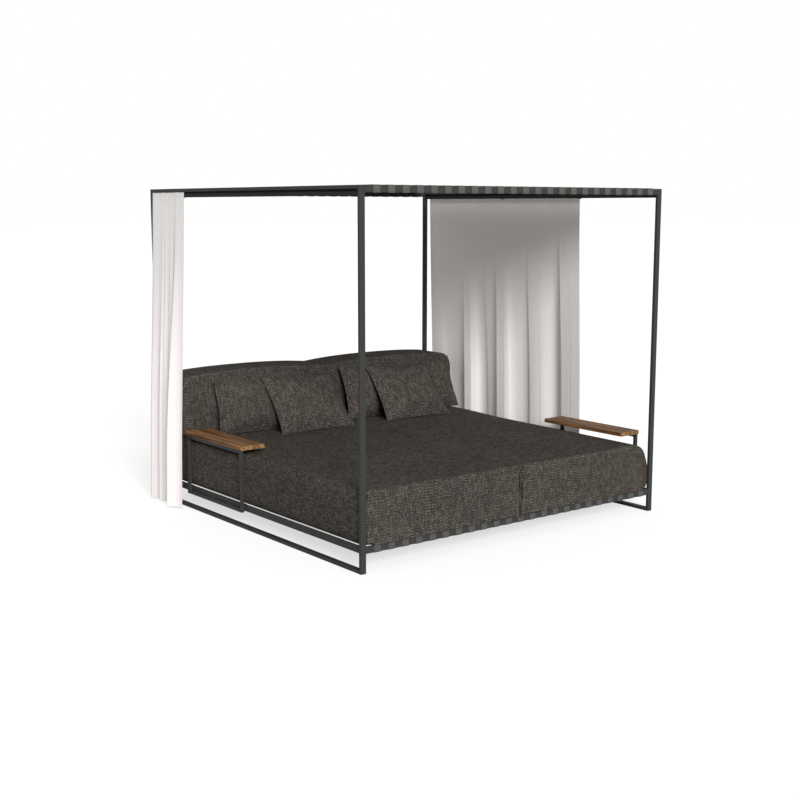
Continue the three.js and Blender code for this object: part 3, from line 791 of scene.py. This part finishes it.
def foamBlock(width, depth, tall, corners, edge, steps, finish):
    bend, acrossFlat, upFlat, alongFlat = steps
    profile, normals = blockOutline(width, tall, corners, bend, (acrossFlat, upFlat))
    arc = np.radians(np.linspace(0, 90, bend + 1))
    front = [(edge * (1 - math.sin(a)), edge * (1 - math.cos(a))) for a in arc]
    middle = [(0.0, y) for y in np.linspace(edge, depth - edge, alongFlat + 1)[1:-1]]
    rear = [(inset, depth - y) for inset, y in reversed(front)]
    rings = front + middle + rear
    count, last = len(profile), len(rings) - 1
    eased = 1 - (1 - innerEase) * np.maximum(0, -normals[:, :1])
    points = []
    for inset, y in rings:
        spot = profile - normals * inset * eased
        points.append(np.column_stack([spot[:, 0], np.full(count, y), spot[:, 1]]))
    faces = [f[1:] + f[:1] for f in gridFaces(tubeGrid(len(rings), count))]
    for ring in (0, last):
        first = sum(len(p) for p in points)
        fresh, ends = coverEnd(points[ring], ring * count, first, acrossFlat + 2 * bend, upFlat + 2 * bend)
        points.append(fresh)
        faces += ends if ring else [f[::-1] for f in ends]
    loops = [list(range(r * count, (r + 1) * count)) for r in (bend // 2, last - bend // 2)]
    return finish(np.vstack(points)), faces, loops


def addBlock(kind, node, side, block, corners, size, finish, sewn):
    points, faces, loops = foamBlock(*size, corners, block["edge"], block["steps"], finish)
    if side < 0:
        points, faces = points * (-1, 1, 1), [f[::-1] for f in faces]
    hand = "left" if side < 0 else "right"
    piece = newPiece(kind + hand, points, faces, cushionMaterial)
    layCloth(piece)
    sewSeam(piece, [points[loops[k]] for k in sewn], block["seam"])
    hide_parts(node + hand)


# Seat

mattress = {"innerBottom": (0.008, 0.008), "innerTop": (0.008, 0.01), "outerBottom": (0.03, 0.075),
            "leftTop": (0.035, 0.08), "rightTop": (0.16, 0.205), "loadedTop": (0.08, 0.165), "outerSide": 1.174,
            "loadedFrom": (-0.3, 0.7), "loadedRise": (0.3, 0.7), "edge": 0.02, "crown": 0.014, "overhang": 0.017,
            "tuck": 0.07, "postSide": 1.1542, "steepness": 8, "dropLimit": 0.99, "lipOut": 0.011, "lipDown": 0.022,
            "lipTop": (0.1, 0.09), "lipTurn": 0.006, "beltFace": 1.1925, "settled": 0.0018, "railRun": 0.02,
            "settledTop": (0.12, 0.1), "steps": (8, 60, 10, 150), "seam": 0.0006, "fill": 0.95}


def crownAt(x, y):
    low, high = boxOf("mattress_right")
    middle = (low + high) / 2
    across = np.maximum(0, np.abs(x) - middle[0]) / ((high[0] - low[0]) / 2)
    along = y / high[1]
    return mattress["crown"] * np.maximum(0, 1 - across ** 2) * np.maximum(0, 1 - along ** 2)


def cornerDrop(x, corner):
    # how far a rounded outer corner of the right mattress lies below its top
    beyond = np.clip((x - mattress["outerSide"]) / corner[0] + 1, 0, mattress["dropLimit"])
    return corner[1] * (1 - np.sqrt(1 - beyond ** 2))


def addMattress(side):
    low, high = boxOf("mattress_right")
    tall = high[2] - low[2] - mattress["crown"]
    lipTop, lipFade = mattress["lipTop"]
    settledTop, settledFade = mattress["settledTop"]

    def finish(p):
        # the front hangs over the belts between the posts, and the outer edge sinks onto the side rail
        x, y = p[:, 0] + low[0], p[:, 1] - high[1]
        front = np.maximum(0, -y / high[1]) ** mattress["steepness"]
        amidPosts = smooth(mattress["postSide"] - x, 0, mattress["tuck"])
        lip = amidPosts * smooth(lipTop - p[:, 2], 0, lipFade)
        y = y - mattress["overhang"] * amidPosts * front - mattress["lipOut"] * lip * front
        past = np.clip((-mattress["beltFace"] - y) / mattress["lipTurn"], 0, 1)
        z = p[:, 2] + low[2] + p[:, 2] / tall * crownAt(x, y) - mattress["lipDown"] * lip * past
        if side > 0:
            rear = smooth(y, *mattress["loadedFrom"]) * smooth(p[:, 2] / tall, *mattress["loadedRise"])
            z = z + rear * (cornerDrop(x, mattress["rightTop"]) - cornerDrop(x, mattress["loadedTop"]))
        onRail = smooth(x, mattress["postSide"] - mattress["railRun"], mattress["postSide"])
        onRail *= smooth(settledTop - p[:, 2], 0, settledFade)
        return np.column_stack([x, y, z - mattress["settled"] * onRail])

    corners = [mattress[name] for name in
               ("innerBottom", "outerBottom", "leftTop" if side < 0 else "rightTop", "innerTop")]
    addBlock("seat_mattress_", "mattress_", side, mattress, corners, (high[0] - low[0], 2 * high[1], tall), finish, [1])


for side in (-1, 1):
    addMattress(side)
print("mattress halves made")


# Back cushions

backCushion = {"corners": ((0.008, 0.008), (0.03, 0.03), (0.09, 0.11), (0.008, 0.01)), "edge": 0.02,
               "crown": 0.026, "bulge": 0.006, "archSteepness": 2.4, "droop": 0.03, "steps": (6, 60, 16, 22),
               "seam": 0.0006, "fill": 0.9}


def addBackCushion(side):
    low, high = boxOf("back_cushion_right")
    width = high[0] - low[0]
    depth = high[1] - low[1] - backCushion["bulge"]
    tall = high[2] - low[2] - backCushion["crown"]

    def finish(p):
        x, y = p[:, 0] + low[0], p[:, 1] + high[1] - depth
        across, up = 2 * p[:, 0] / width - 1, p[:, 2] / tall
        full = (1 - across ** 2) * (1 - (2 * up - 1) ** 2) * np.maximum(0, 1 - 2 * p[:, 1] / depth)
        arch = 1 - np.abs(across) ** backCushion["archSteepness"]
        z = p[:, 2] + low[2] + up * backCushion["crown"] * arch + (1 - up) * crownAt(x, y)
        if side > 0:
            z = z - (1 - up) ** 3 * np.minimum(cornerDrop(x, mattress["loadedTop"]), backCushion["droop"])
        return np.column_stack([x, y - backCushion["bulge"] * np.maximum(0, full), z])

    addBlock("backrest_cushion_", "back_cushion_", side, backCushion, backCushion["corners"], (width, depth, tall),
             finish, [0, 1])


for side in (-1, 1):
    addBackCushion(side)
print("back cushions made")


# Throw pillows

pillow = {"width": 0.58, "tall": 0.45, "front": 0.066, "rear": 0.02, "edge": 0.006, "rimRise": 14, "drawn": 0.025,
          "drawnSide": 0.07, "slump": 0.88, "squeeze": 0.965, "backLean": 18, "frontLean": 36, "grid": (56, 44),
          "closer": 0.94, "flatness": 3, "fullness": 0.7, "frontReach": 0.009, "rearReach": 0.0015, "seam": 0.0014,
          "fill": 0.7, "pressure": 3.0, "slack": 0.02, "stiffness": 12.0, "bending": 0.4, "weight": 0.3,
          "quality": 6, "frames": 20,
          "each": (("pillow_back_left", "back", -5, 1.045), ("pillow_back_middle", "back", 2.5, 1.0),
                   ("pillow_back_right", "back", 5.5, 1.0), ("pillow_front_left", "front", 1.6, 1.04),
                   ("pillow_front_right", "front", 0, 1.0))}


def puffUp(piece, held, reach):
    # the cover fills like a bag; reach is how far each point may go
    group = piece.vertex_groups.new(name="held")
    group.add([int(i) for i in held], 1.0, "REPLACE")
    rest = pointsOf(piece.data)
    cloth = piece.modifiers.new("cover", "CLOTH")
    cover = cloth.settings
    cover.quality = pillow["quality"]
    cover.mass = pillow["weight"]
    cover.tension_stiffness = cover.compression_stiffness = pillow["stiffness"]
    cover.shear_stiffness = pillow["stiffness"] / 2
    cover.bending_stiffness = pillow["bending"]
    cover.use_pressure = True
    cover.uniform_pressure_force = pillow["pressure"]
    cover.shrink_min = -pillow["slack"]
    cover.vertex_group_mass = "held"
    cover.effector_weights.gravity = 0.0
    cloth.point_cache.frame_end = pillow["frames"]
    for step in range(1, pillow["frames"] + 1):
        scene.frame_set(step)
    filled = grownMesh(piece)
    moved = pointsOf(filled) - rest
    bpy.data.meshes.remove(filled)
    piece.modifiers.clear()
    piece.vertex_groups.clear()
    scene.frame_set(1)
    keep = np.minimum(1.0, reach / np.maximum(np.linalg.norm(moved, axis=1), 1e-9))
    piece.data.vertices.foreach_set("co", (rest + moved * keep[:, None]).ravel())
    piece.data.update()


def closerSpaced(count):
    # from -1 to 1, with closer steps near the ends
    span = pillow["closer"]
    return np.sin(np.linspace(-1, 1, count + 1) * math.pi / 2 * span) / math.sin(math.pi / 2 * span)


def addPillow(name, row, yaw, widthShare):
    isBack = row == "back"
    width = pillow["width"] * widthShare * (pillow["squeeze"] if isBack else 1)
    tall = pillow["tall"] * (pillow["slump"] if isBack else 1)
    lean = math.radians(pillow["backLean" if isBack else "frontLean"])
    across, up = pillow["grid"]
    u, w = np.meshgrid(closerSpaced(across), closerSpaced(up), indexing="ij")
    full = ((1 - np.abs(u) ** pillow["flatness"]) * (1 - np.abs(w) ** pillow["flatness"])) ** pillow["fullness"]
    x = u * width / 2 * (1 - pillow["drawnSide"] * (1 - w * w))
    z = tall / 2 * (1 + w * (1 - pillow["drawn"] * (1 - u * u)))
    half = pillow["edge"] / 2 * np.minimum(1, pillow["rimRise"] * full)
    front = np.stack([x, -half - pillow["front"] * full, z], axis=-1).reshape(-1, 3)
    rear = np.stack([x, half + pillow["rear"] * full, z], axis=-1)
    grid = np.arange(len(front)).reshape(across + 1, up + 1)
    inside = np.zeros_like(grid, bool)
    inside[1:-1, 1:-1] = True
    rearGrid = grid.copy()
    rearGrid[inside] = len(front) + np.arange(inside.sum())
    points = np.vstack([front, rear[inside]])
    faces = [face for pair in zip(gridFaces(grid), gridFaces(rearGrid, flip=True)) for face in pair]
    turn = np.array(Matrix.Rotation(math.radians(yaw), 3, "Z") @ Matrix.Rotation(-lean, 3, "X"))
    points = points @ turn.T
    low, high = boxOf(name)
    points += (low + high) / 2 - (points.min(axis=0) + points.max(axis=0)) / 2
    piece = newPiece("throw_" + name, points, faces, cushionMaterial)
    rim = list(grid[:, 0]) + list(grid[-1, 1:]) + list(grid[-2::-1, -1]) + list(grid[0, -2:0:-1])
    reach = np.full(len(points), pillow["frontReach"])
    reach[len(front):] = pillow["rearReach"]
    puffUp(piece, rim, reach)
    finer = piece.modifiers.new("finer", "SUBSURF")
    finer.levels = finer.render_levels = 1
    settle(piece)
    layCloth(piece, turn.T)
    sewSeam(piece, [points[rim]], pillow["seam"])
    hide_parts(name)


for name, row, yaw, widthShare in pillow["each"]:
    addPillow(name, row, yaw, widthShare)
print("throw pillows made")


# Belts of the base and of the roof

belt = {"count": 23, "width": 0.048, "thick": 0.0018, "bend": 0.0022, "bendParts": 4, "gap": 0.0003,
        "roofLift": 0.0011, "chamfer": 0.0006, "shoulder": 0.004, "rim": 0.46, "longest": 0.06}


def roundedPath(corners, bend, parts):
    path = [np.array(corners[0])]
    for before, here, after in zip(corners, corners[1:], corners[2:]):
        before, here, after = (np.array(p) for p in (before, here, after))
        arrive, leave = (here + (p - here) / np.linalg.norm(p - here) * bend for p in (before, after))
        for k in range(parts + 1):
            t = k / parts
            path.append((1 - t) ** 2 * arrive + 2 * t * (1 - t) * here + t * t * leave)
    path.append(np.array(corners[-1]))
    return np.array(path)


def divided(path, longest):
    out = [path[0]]
    for a, b in zip(path, path[1:]):
        count = max(1, math.ceil(np.linalg.norm(b - a) / longest))
        out += [a + (b - a) * k / count for k in range(1, count + 1)]
    return np.array(out)


def beltSection():
    # across the belt and through its thickness: a little thicker at the borders
    h, c, s, rim = belt["width"] / 2, belt["chamfer"], belt["shoulder"], belt["rim"]
    return [(-h, 0), (-h + c, rim), (-h + s, 0.5), (0, rim), (h - s, 0.5), (h - c, rim), (h, 0), (h - c, -rim),
            (0, -rim), (-h + c, -rim)]


def addBelt(name, x, railTop, lift, node, material):
    # round the front rail, over to the rear rail and round that
    low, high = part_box("top_rail_front")
    frontOuter, frontInner, thick = low[1], high[1], belt["thick"]
    off = belt["gap"] + thick / 2
    top, bottom, over = railTop - thick, railTop - (high[2] - low[2]) - off, railTop + lift + off
    half = [(frontInner + off, top - thick), (frontInner + off, bottom),
            (frontOuter - off, bottom), (frontOuter - off, over)]
    corners = half + [(-y, z) for y, z in reversed(half)]
    path = divided(roundedPath(corners, belt["bend"], belt["bendParts"]), belt["longest"])
    ahead = np.gradient(path, axis=0)
    ahead /= np.linalg.norm(ahead, axis=1)[:, None]
    out = np.column_stack([-ahead[:, 1], ahead[:, 0]])
    section = beltSection()
    sides, count = len(section), len(path)
    points = [(x + a, p[0] + o[0] * b * thick, p[1] + o[1] * b * thick) for p, o in zip(path, out) for a, b in section]
    faces = [list(range(sides))] + gridFaces(tubeGrid(count, sides))
    faces.append(list(reversed(range((count - 1) * sides, count * sides))))
    piece = newPiece(name, points, faces, material)
    corner = cornersOf(piece.data)
    putCloth(piece.data, np.array([a for a, b in section])[corner % sides], lengthsAlong(path)[corner // sides])
    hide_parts(node)


frontRail = {"wall": 0.002, "radius": 0.0015, "bend": 4}


def addFrontRail():
    # the front rail of the base, a rectangular tube
    low, high = boxOf("base_rail_rear")
    halfWide, halfTall = (high[1] - low[1]) / 2, (high[2] - low[2]) / 2
    wall, radius, bend = frontRail["wall"], frontRail["radius"], frontRail["bend"]
    outer, inner = [], []
    for k, (cy, cz) in enumerate(((1, 1), (-1, 1), (-1, -1), (1, -1))):
        for step in range(bend + 1):
            turn = math.radians(90 * k + 90 * step / bend)
            outer.append((cy * (halfWide - radius) + radius * math.cos(turn),
                          cz * (halfTall - radius) + radius * math.sin(turn)))
            inner.append((cy * (halfWide - wall), cz * (halfTall - wall)))
    middle = np.array([-(low[1] + high[1]) / 2, (low[2] + high[2]) / 2])
    points = [(x, y + middle[0], z + middle[1]) for x in (low[0], high[0]) for ring in (outer, inner) for y, z in ring]
    count = len(outer)
    faces = []
    for k in range(count):
        n = (k + 1) % count
        faces += [(k, 2 * count + k, 2 * count + n, n), (count + k, count + n, 3 * count + n, 3 * count + k),
                  (k, n, count + n, count + k), (2 * count + k, 3 * count + k, 3 * count + n, 2 * count + n)]
    piece = newPiece("base_rail_front", points, faces, frameMaterial)
    piece.data.polygons.foreach_set("use_smooth", [False] * len(piece.data.polygons))
    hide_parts("base_rail_front_with_belts")


addFrontRail()
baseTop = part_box("base_rail_rear")[1][2]
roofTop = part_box("top_rail_front")[1][2]
for i in range(belt["count"]):
    label = f"{i + 1:02d}"
    low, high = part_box("roof_belt_" + label)
    centre = (low[0] + high[0]) / 2
    addBelt("roof_webbing_" + label, centre, roofTop, belt["roofLift"], "roof_belt_" + label, roofWebbing)
    addBelt("base_webbing_" + label, centre, baseTop, 0.0, "base_rail_front_with_belts", baseWebbing)
print("belts made:", 2 * belt["count"])


# Canopy cloth between the rails and the roof belts

canopy = {"sag": 0.012, "grid": (60, 60), "railEdge": 0.021, "slope": 0.5, "ripple": 0.25, "ripples": 11,
          "thick": 0.0008}


def addCanopy():
    low, high = boxOf("canopy_cloth")
    u, v = unitGrid(*canopy["grid"])
    x = low[0] + u * (high[0] - low[0])
    y = low[1] + v * (high[1] - low[1])
    inside = np.clip((np.minimum(y - low[1], high[1] - y) - canopy["railEdge"]) / canopy["slope"], 0, 1)
    waves = 1 - canopy["ripple"] + canopy["ripple"] * np.cos(u * math.pi * 2 * canopy["ripples"])
    z = (low[2] + high[2]) / 2 - canopy["sag"] * np.sin(inside * math.pi / 2) * waves
    points, faces = sheetOf(x, y, z)
    piece = newPiece("canopy_sheet", points, faces, canopyMaterial)
    layCloth(piece)
    skin = piece.modifiers.new("thickness", "SOLIDIFY")
    skin.thickness = canopy["thick"]
    skin.offset = 0
    settle(piece)
    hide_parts("canopy_cloth")


addCanopy()
print("canopy made")


# Curtains; folds are (place from the leading edge to the rear, height) and lead and rear are along Y

curtain = {
    "top": 2.077, "hem": 0.014, "railX": 1.1725, "trackSide": 1.1842, "postHalf": 0.0175,
    "pleat": 0.026, "pleatDepth": 0.0004, "pleatFade": (0.05, 0.5),
    "ripple": 0.0006, "rippleTo": 1.1, "coarse": 61, "fine": 117, "fineShare": 0.6, "sway": (1.3, 3.1), "fineSway": 2.2,
    "left": {"lead": 0.728, "rear": 1.165, "inner": 0.048, "reach": 0.128, "flat": 0.03, "opening": (0.02, 0.85),
             "soft": 0.007, "grid": (180, 120), "seed": 3.1,
             "folds": ((0, 0.24), (0.06, 0.32), (0.12, 0.5), (0.24, 1), (0.3, 0.35), (0.34, 0.15), (0.43, 0.34),
                       (0.46, 0.12), (0.5, 0.12), (0.59, 0.36), (0.615, 0.2), (0.69, 0.44), (0.715, 0.12),
                       (0.785, 0.2), (0.8, 0.1), (0.95, 0.42), (0.975, 0.3), (1, 0.32))},
    "right": {"lead": -0.478, "rear": 1.135, "inner": 0.032, "reach": 0.118, "flat": 0.04, "opening": (0.08, 0.75),
              "soft": 0.004, "grid": (340, 120), "seed": 7.7,
              "folds": ((0, 0.22), (0.05, 0.25), (0.122, 0.35), (0.138, 0.97), (0.165, 0.95), (0.205, 0.62),
                        (0.225, 0.48), (0.245, 0.38), (0.285, 0.31), (0.32, 0.33), (0.335, 0.58), (0.37, 0.55),
                        (0.39, 0.5), (0.41, 0.43), (0.43, 0.31), (0.45, 0.11), (0.47, 0.02), (0.528, 0.05),
                        (0.543, 0.62), (0.61, 0.58), (0.635, 0.72), (0.655, 0.7), (0.67, 0.6), (0.69, 0.34),
                        (0.71, 0.12), (0.757, 0.04), (0.772, 0.4), (0.81, 0.47), (0.87, 0.44), (0.9, 0.36),
                        (0.93, 0.2), (0.965, 0.13), (1, 0.12))},
}


def foldHeight(folds, place, soft):
    places, heights = (np.array(part) for part in zip(*folds))
    return np.mean([np.interp(place + shift, places, heights) for shift in np.linspace(-soft, soft, 9)], axis=0)


def ripples(y, drop, seed):
    sway, swayRate = curtain["sway"]
    coarse = np.sin(y * curtain["coarse"] + seed + sway * np.sin(drop * swayRate))
    return coarse + curtain["fineShare"] * np.sin(y * curtain["fine"] + 2 * seed + drop * curtain["fineSway"])


def addCurtain(hand, side):
    size = curtain[hand]
    place, drop = unitGrid(*size["grid"])
    fold = foldHeight(size["folds"], place, size["soft"])
    lean = curtain["railX"] + size["inner"] + curtain["postHalf"] - curtain["trackSide"]
    spread = size["reach"] - size["inner"]
    opened = size["flat"] + (1 - size["flat"]) * smooth(drop, *size["opening"])
    y = size["lead"] + place * (size["rear"] - size["lead"])
    ripple = ripples(y, drop, size["seed"]) * (curtain["ripple"] * opened * np.clip(curtain["rippleTo"] - fold, 0, 1))
    pleats = curtain["pleatDepth"] * (1 + np.sin(2 * math.pi * y / curtain["pleat"]))
    pleats *= 1 - smooth(drop, *curtain["pleatFade"])
    out = lean * drop + spread * opened * fold + np.abs(ripple) + pleats
    x = side * (curtain["trackSide"] + out)
    z = curtain["top"] + drop * (curtain["hem"] - curtain["top"])
    points, faces = sheetOf(x, y, z)
    if side > 0:
        faces = [f[::-1] for f in faces]
    piece = newPiece("drape_" + hand, points, faces, curtainMaterial, body=None)
    run = lengthsAlong(points.reshape(*z.shape, 3)[:, -1])
    corner = cornersOf(piece.data)
    putCloth(piece.data, run[corner // z.shape[1]], points[corner, 2])
    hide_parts("curtain_" + hand)
    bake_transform(piece)


addCurtain("left", -1)
addCurtain("right", 1)
print("curtains made")


# Finishes of the pieces that stay as they are

def dressNodes():
    finishes = {"shelf_board": teakMaterial, "curtain_glider": gliderMaterial, "curtain_track": trackMaterial}
    dressed = 0
    for name, node in nodes.items():
        if node.hide_render:
            continue
        material = next((m for start, m in finishes.items() if name.startswith(start)), frameMaterial)
        node.data.materials.clear()
        node.data.materials.append(material)
        dressed += 1
    print("frame pieces dressed:", dressed)


dressNodes()
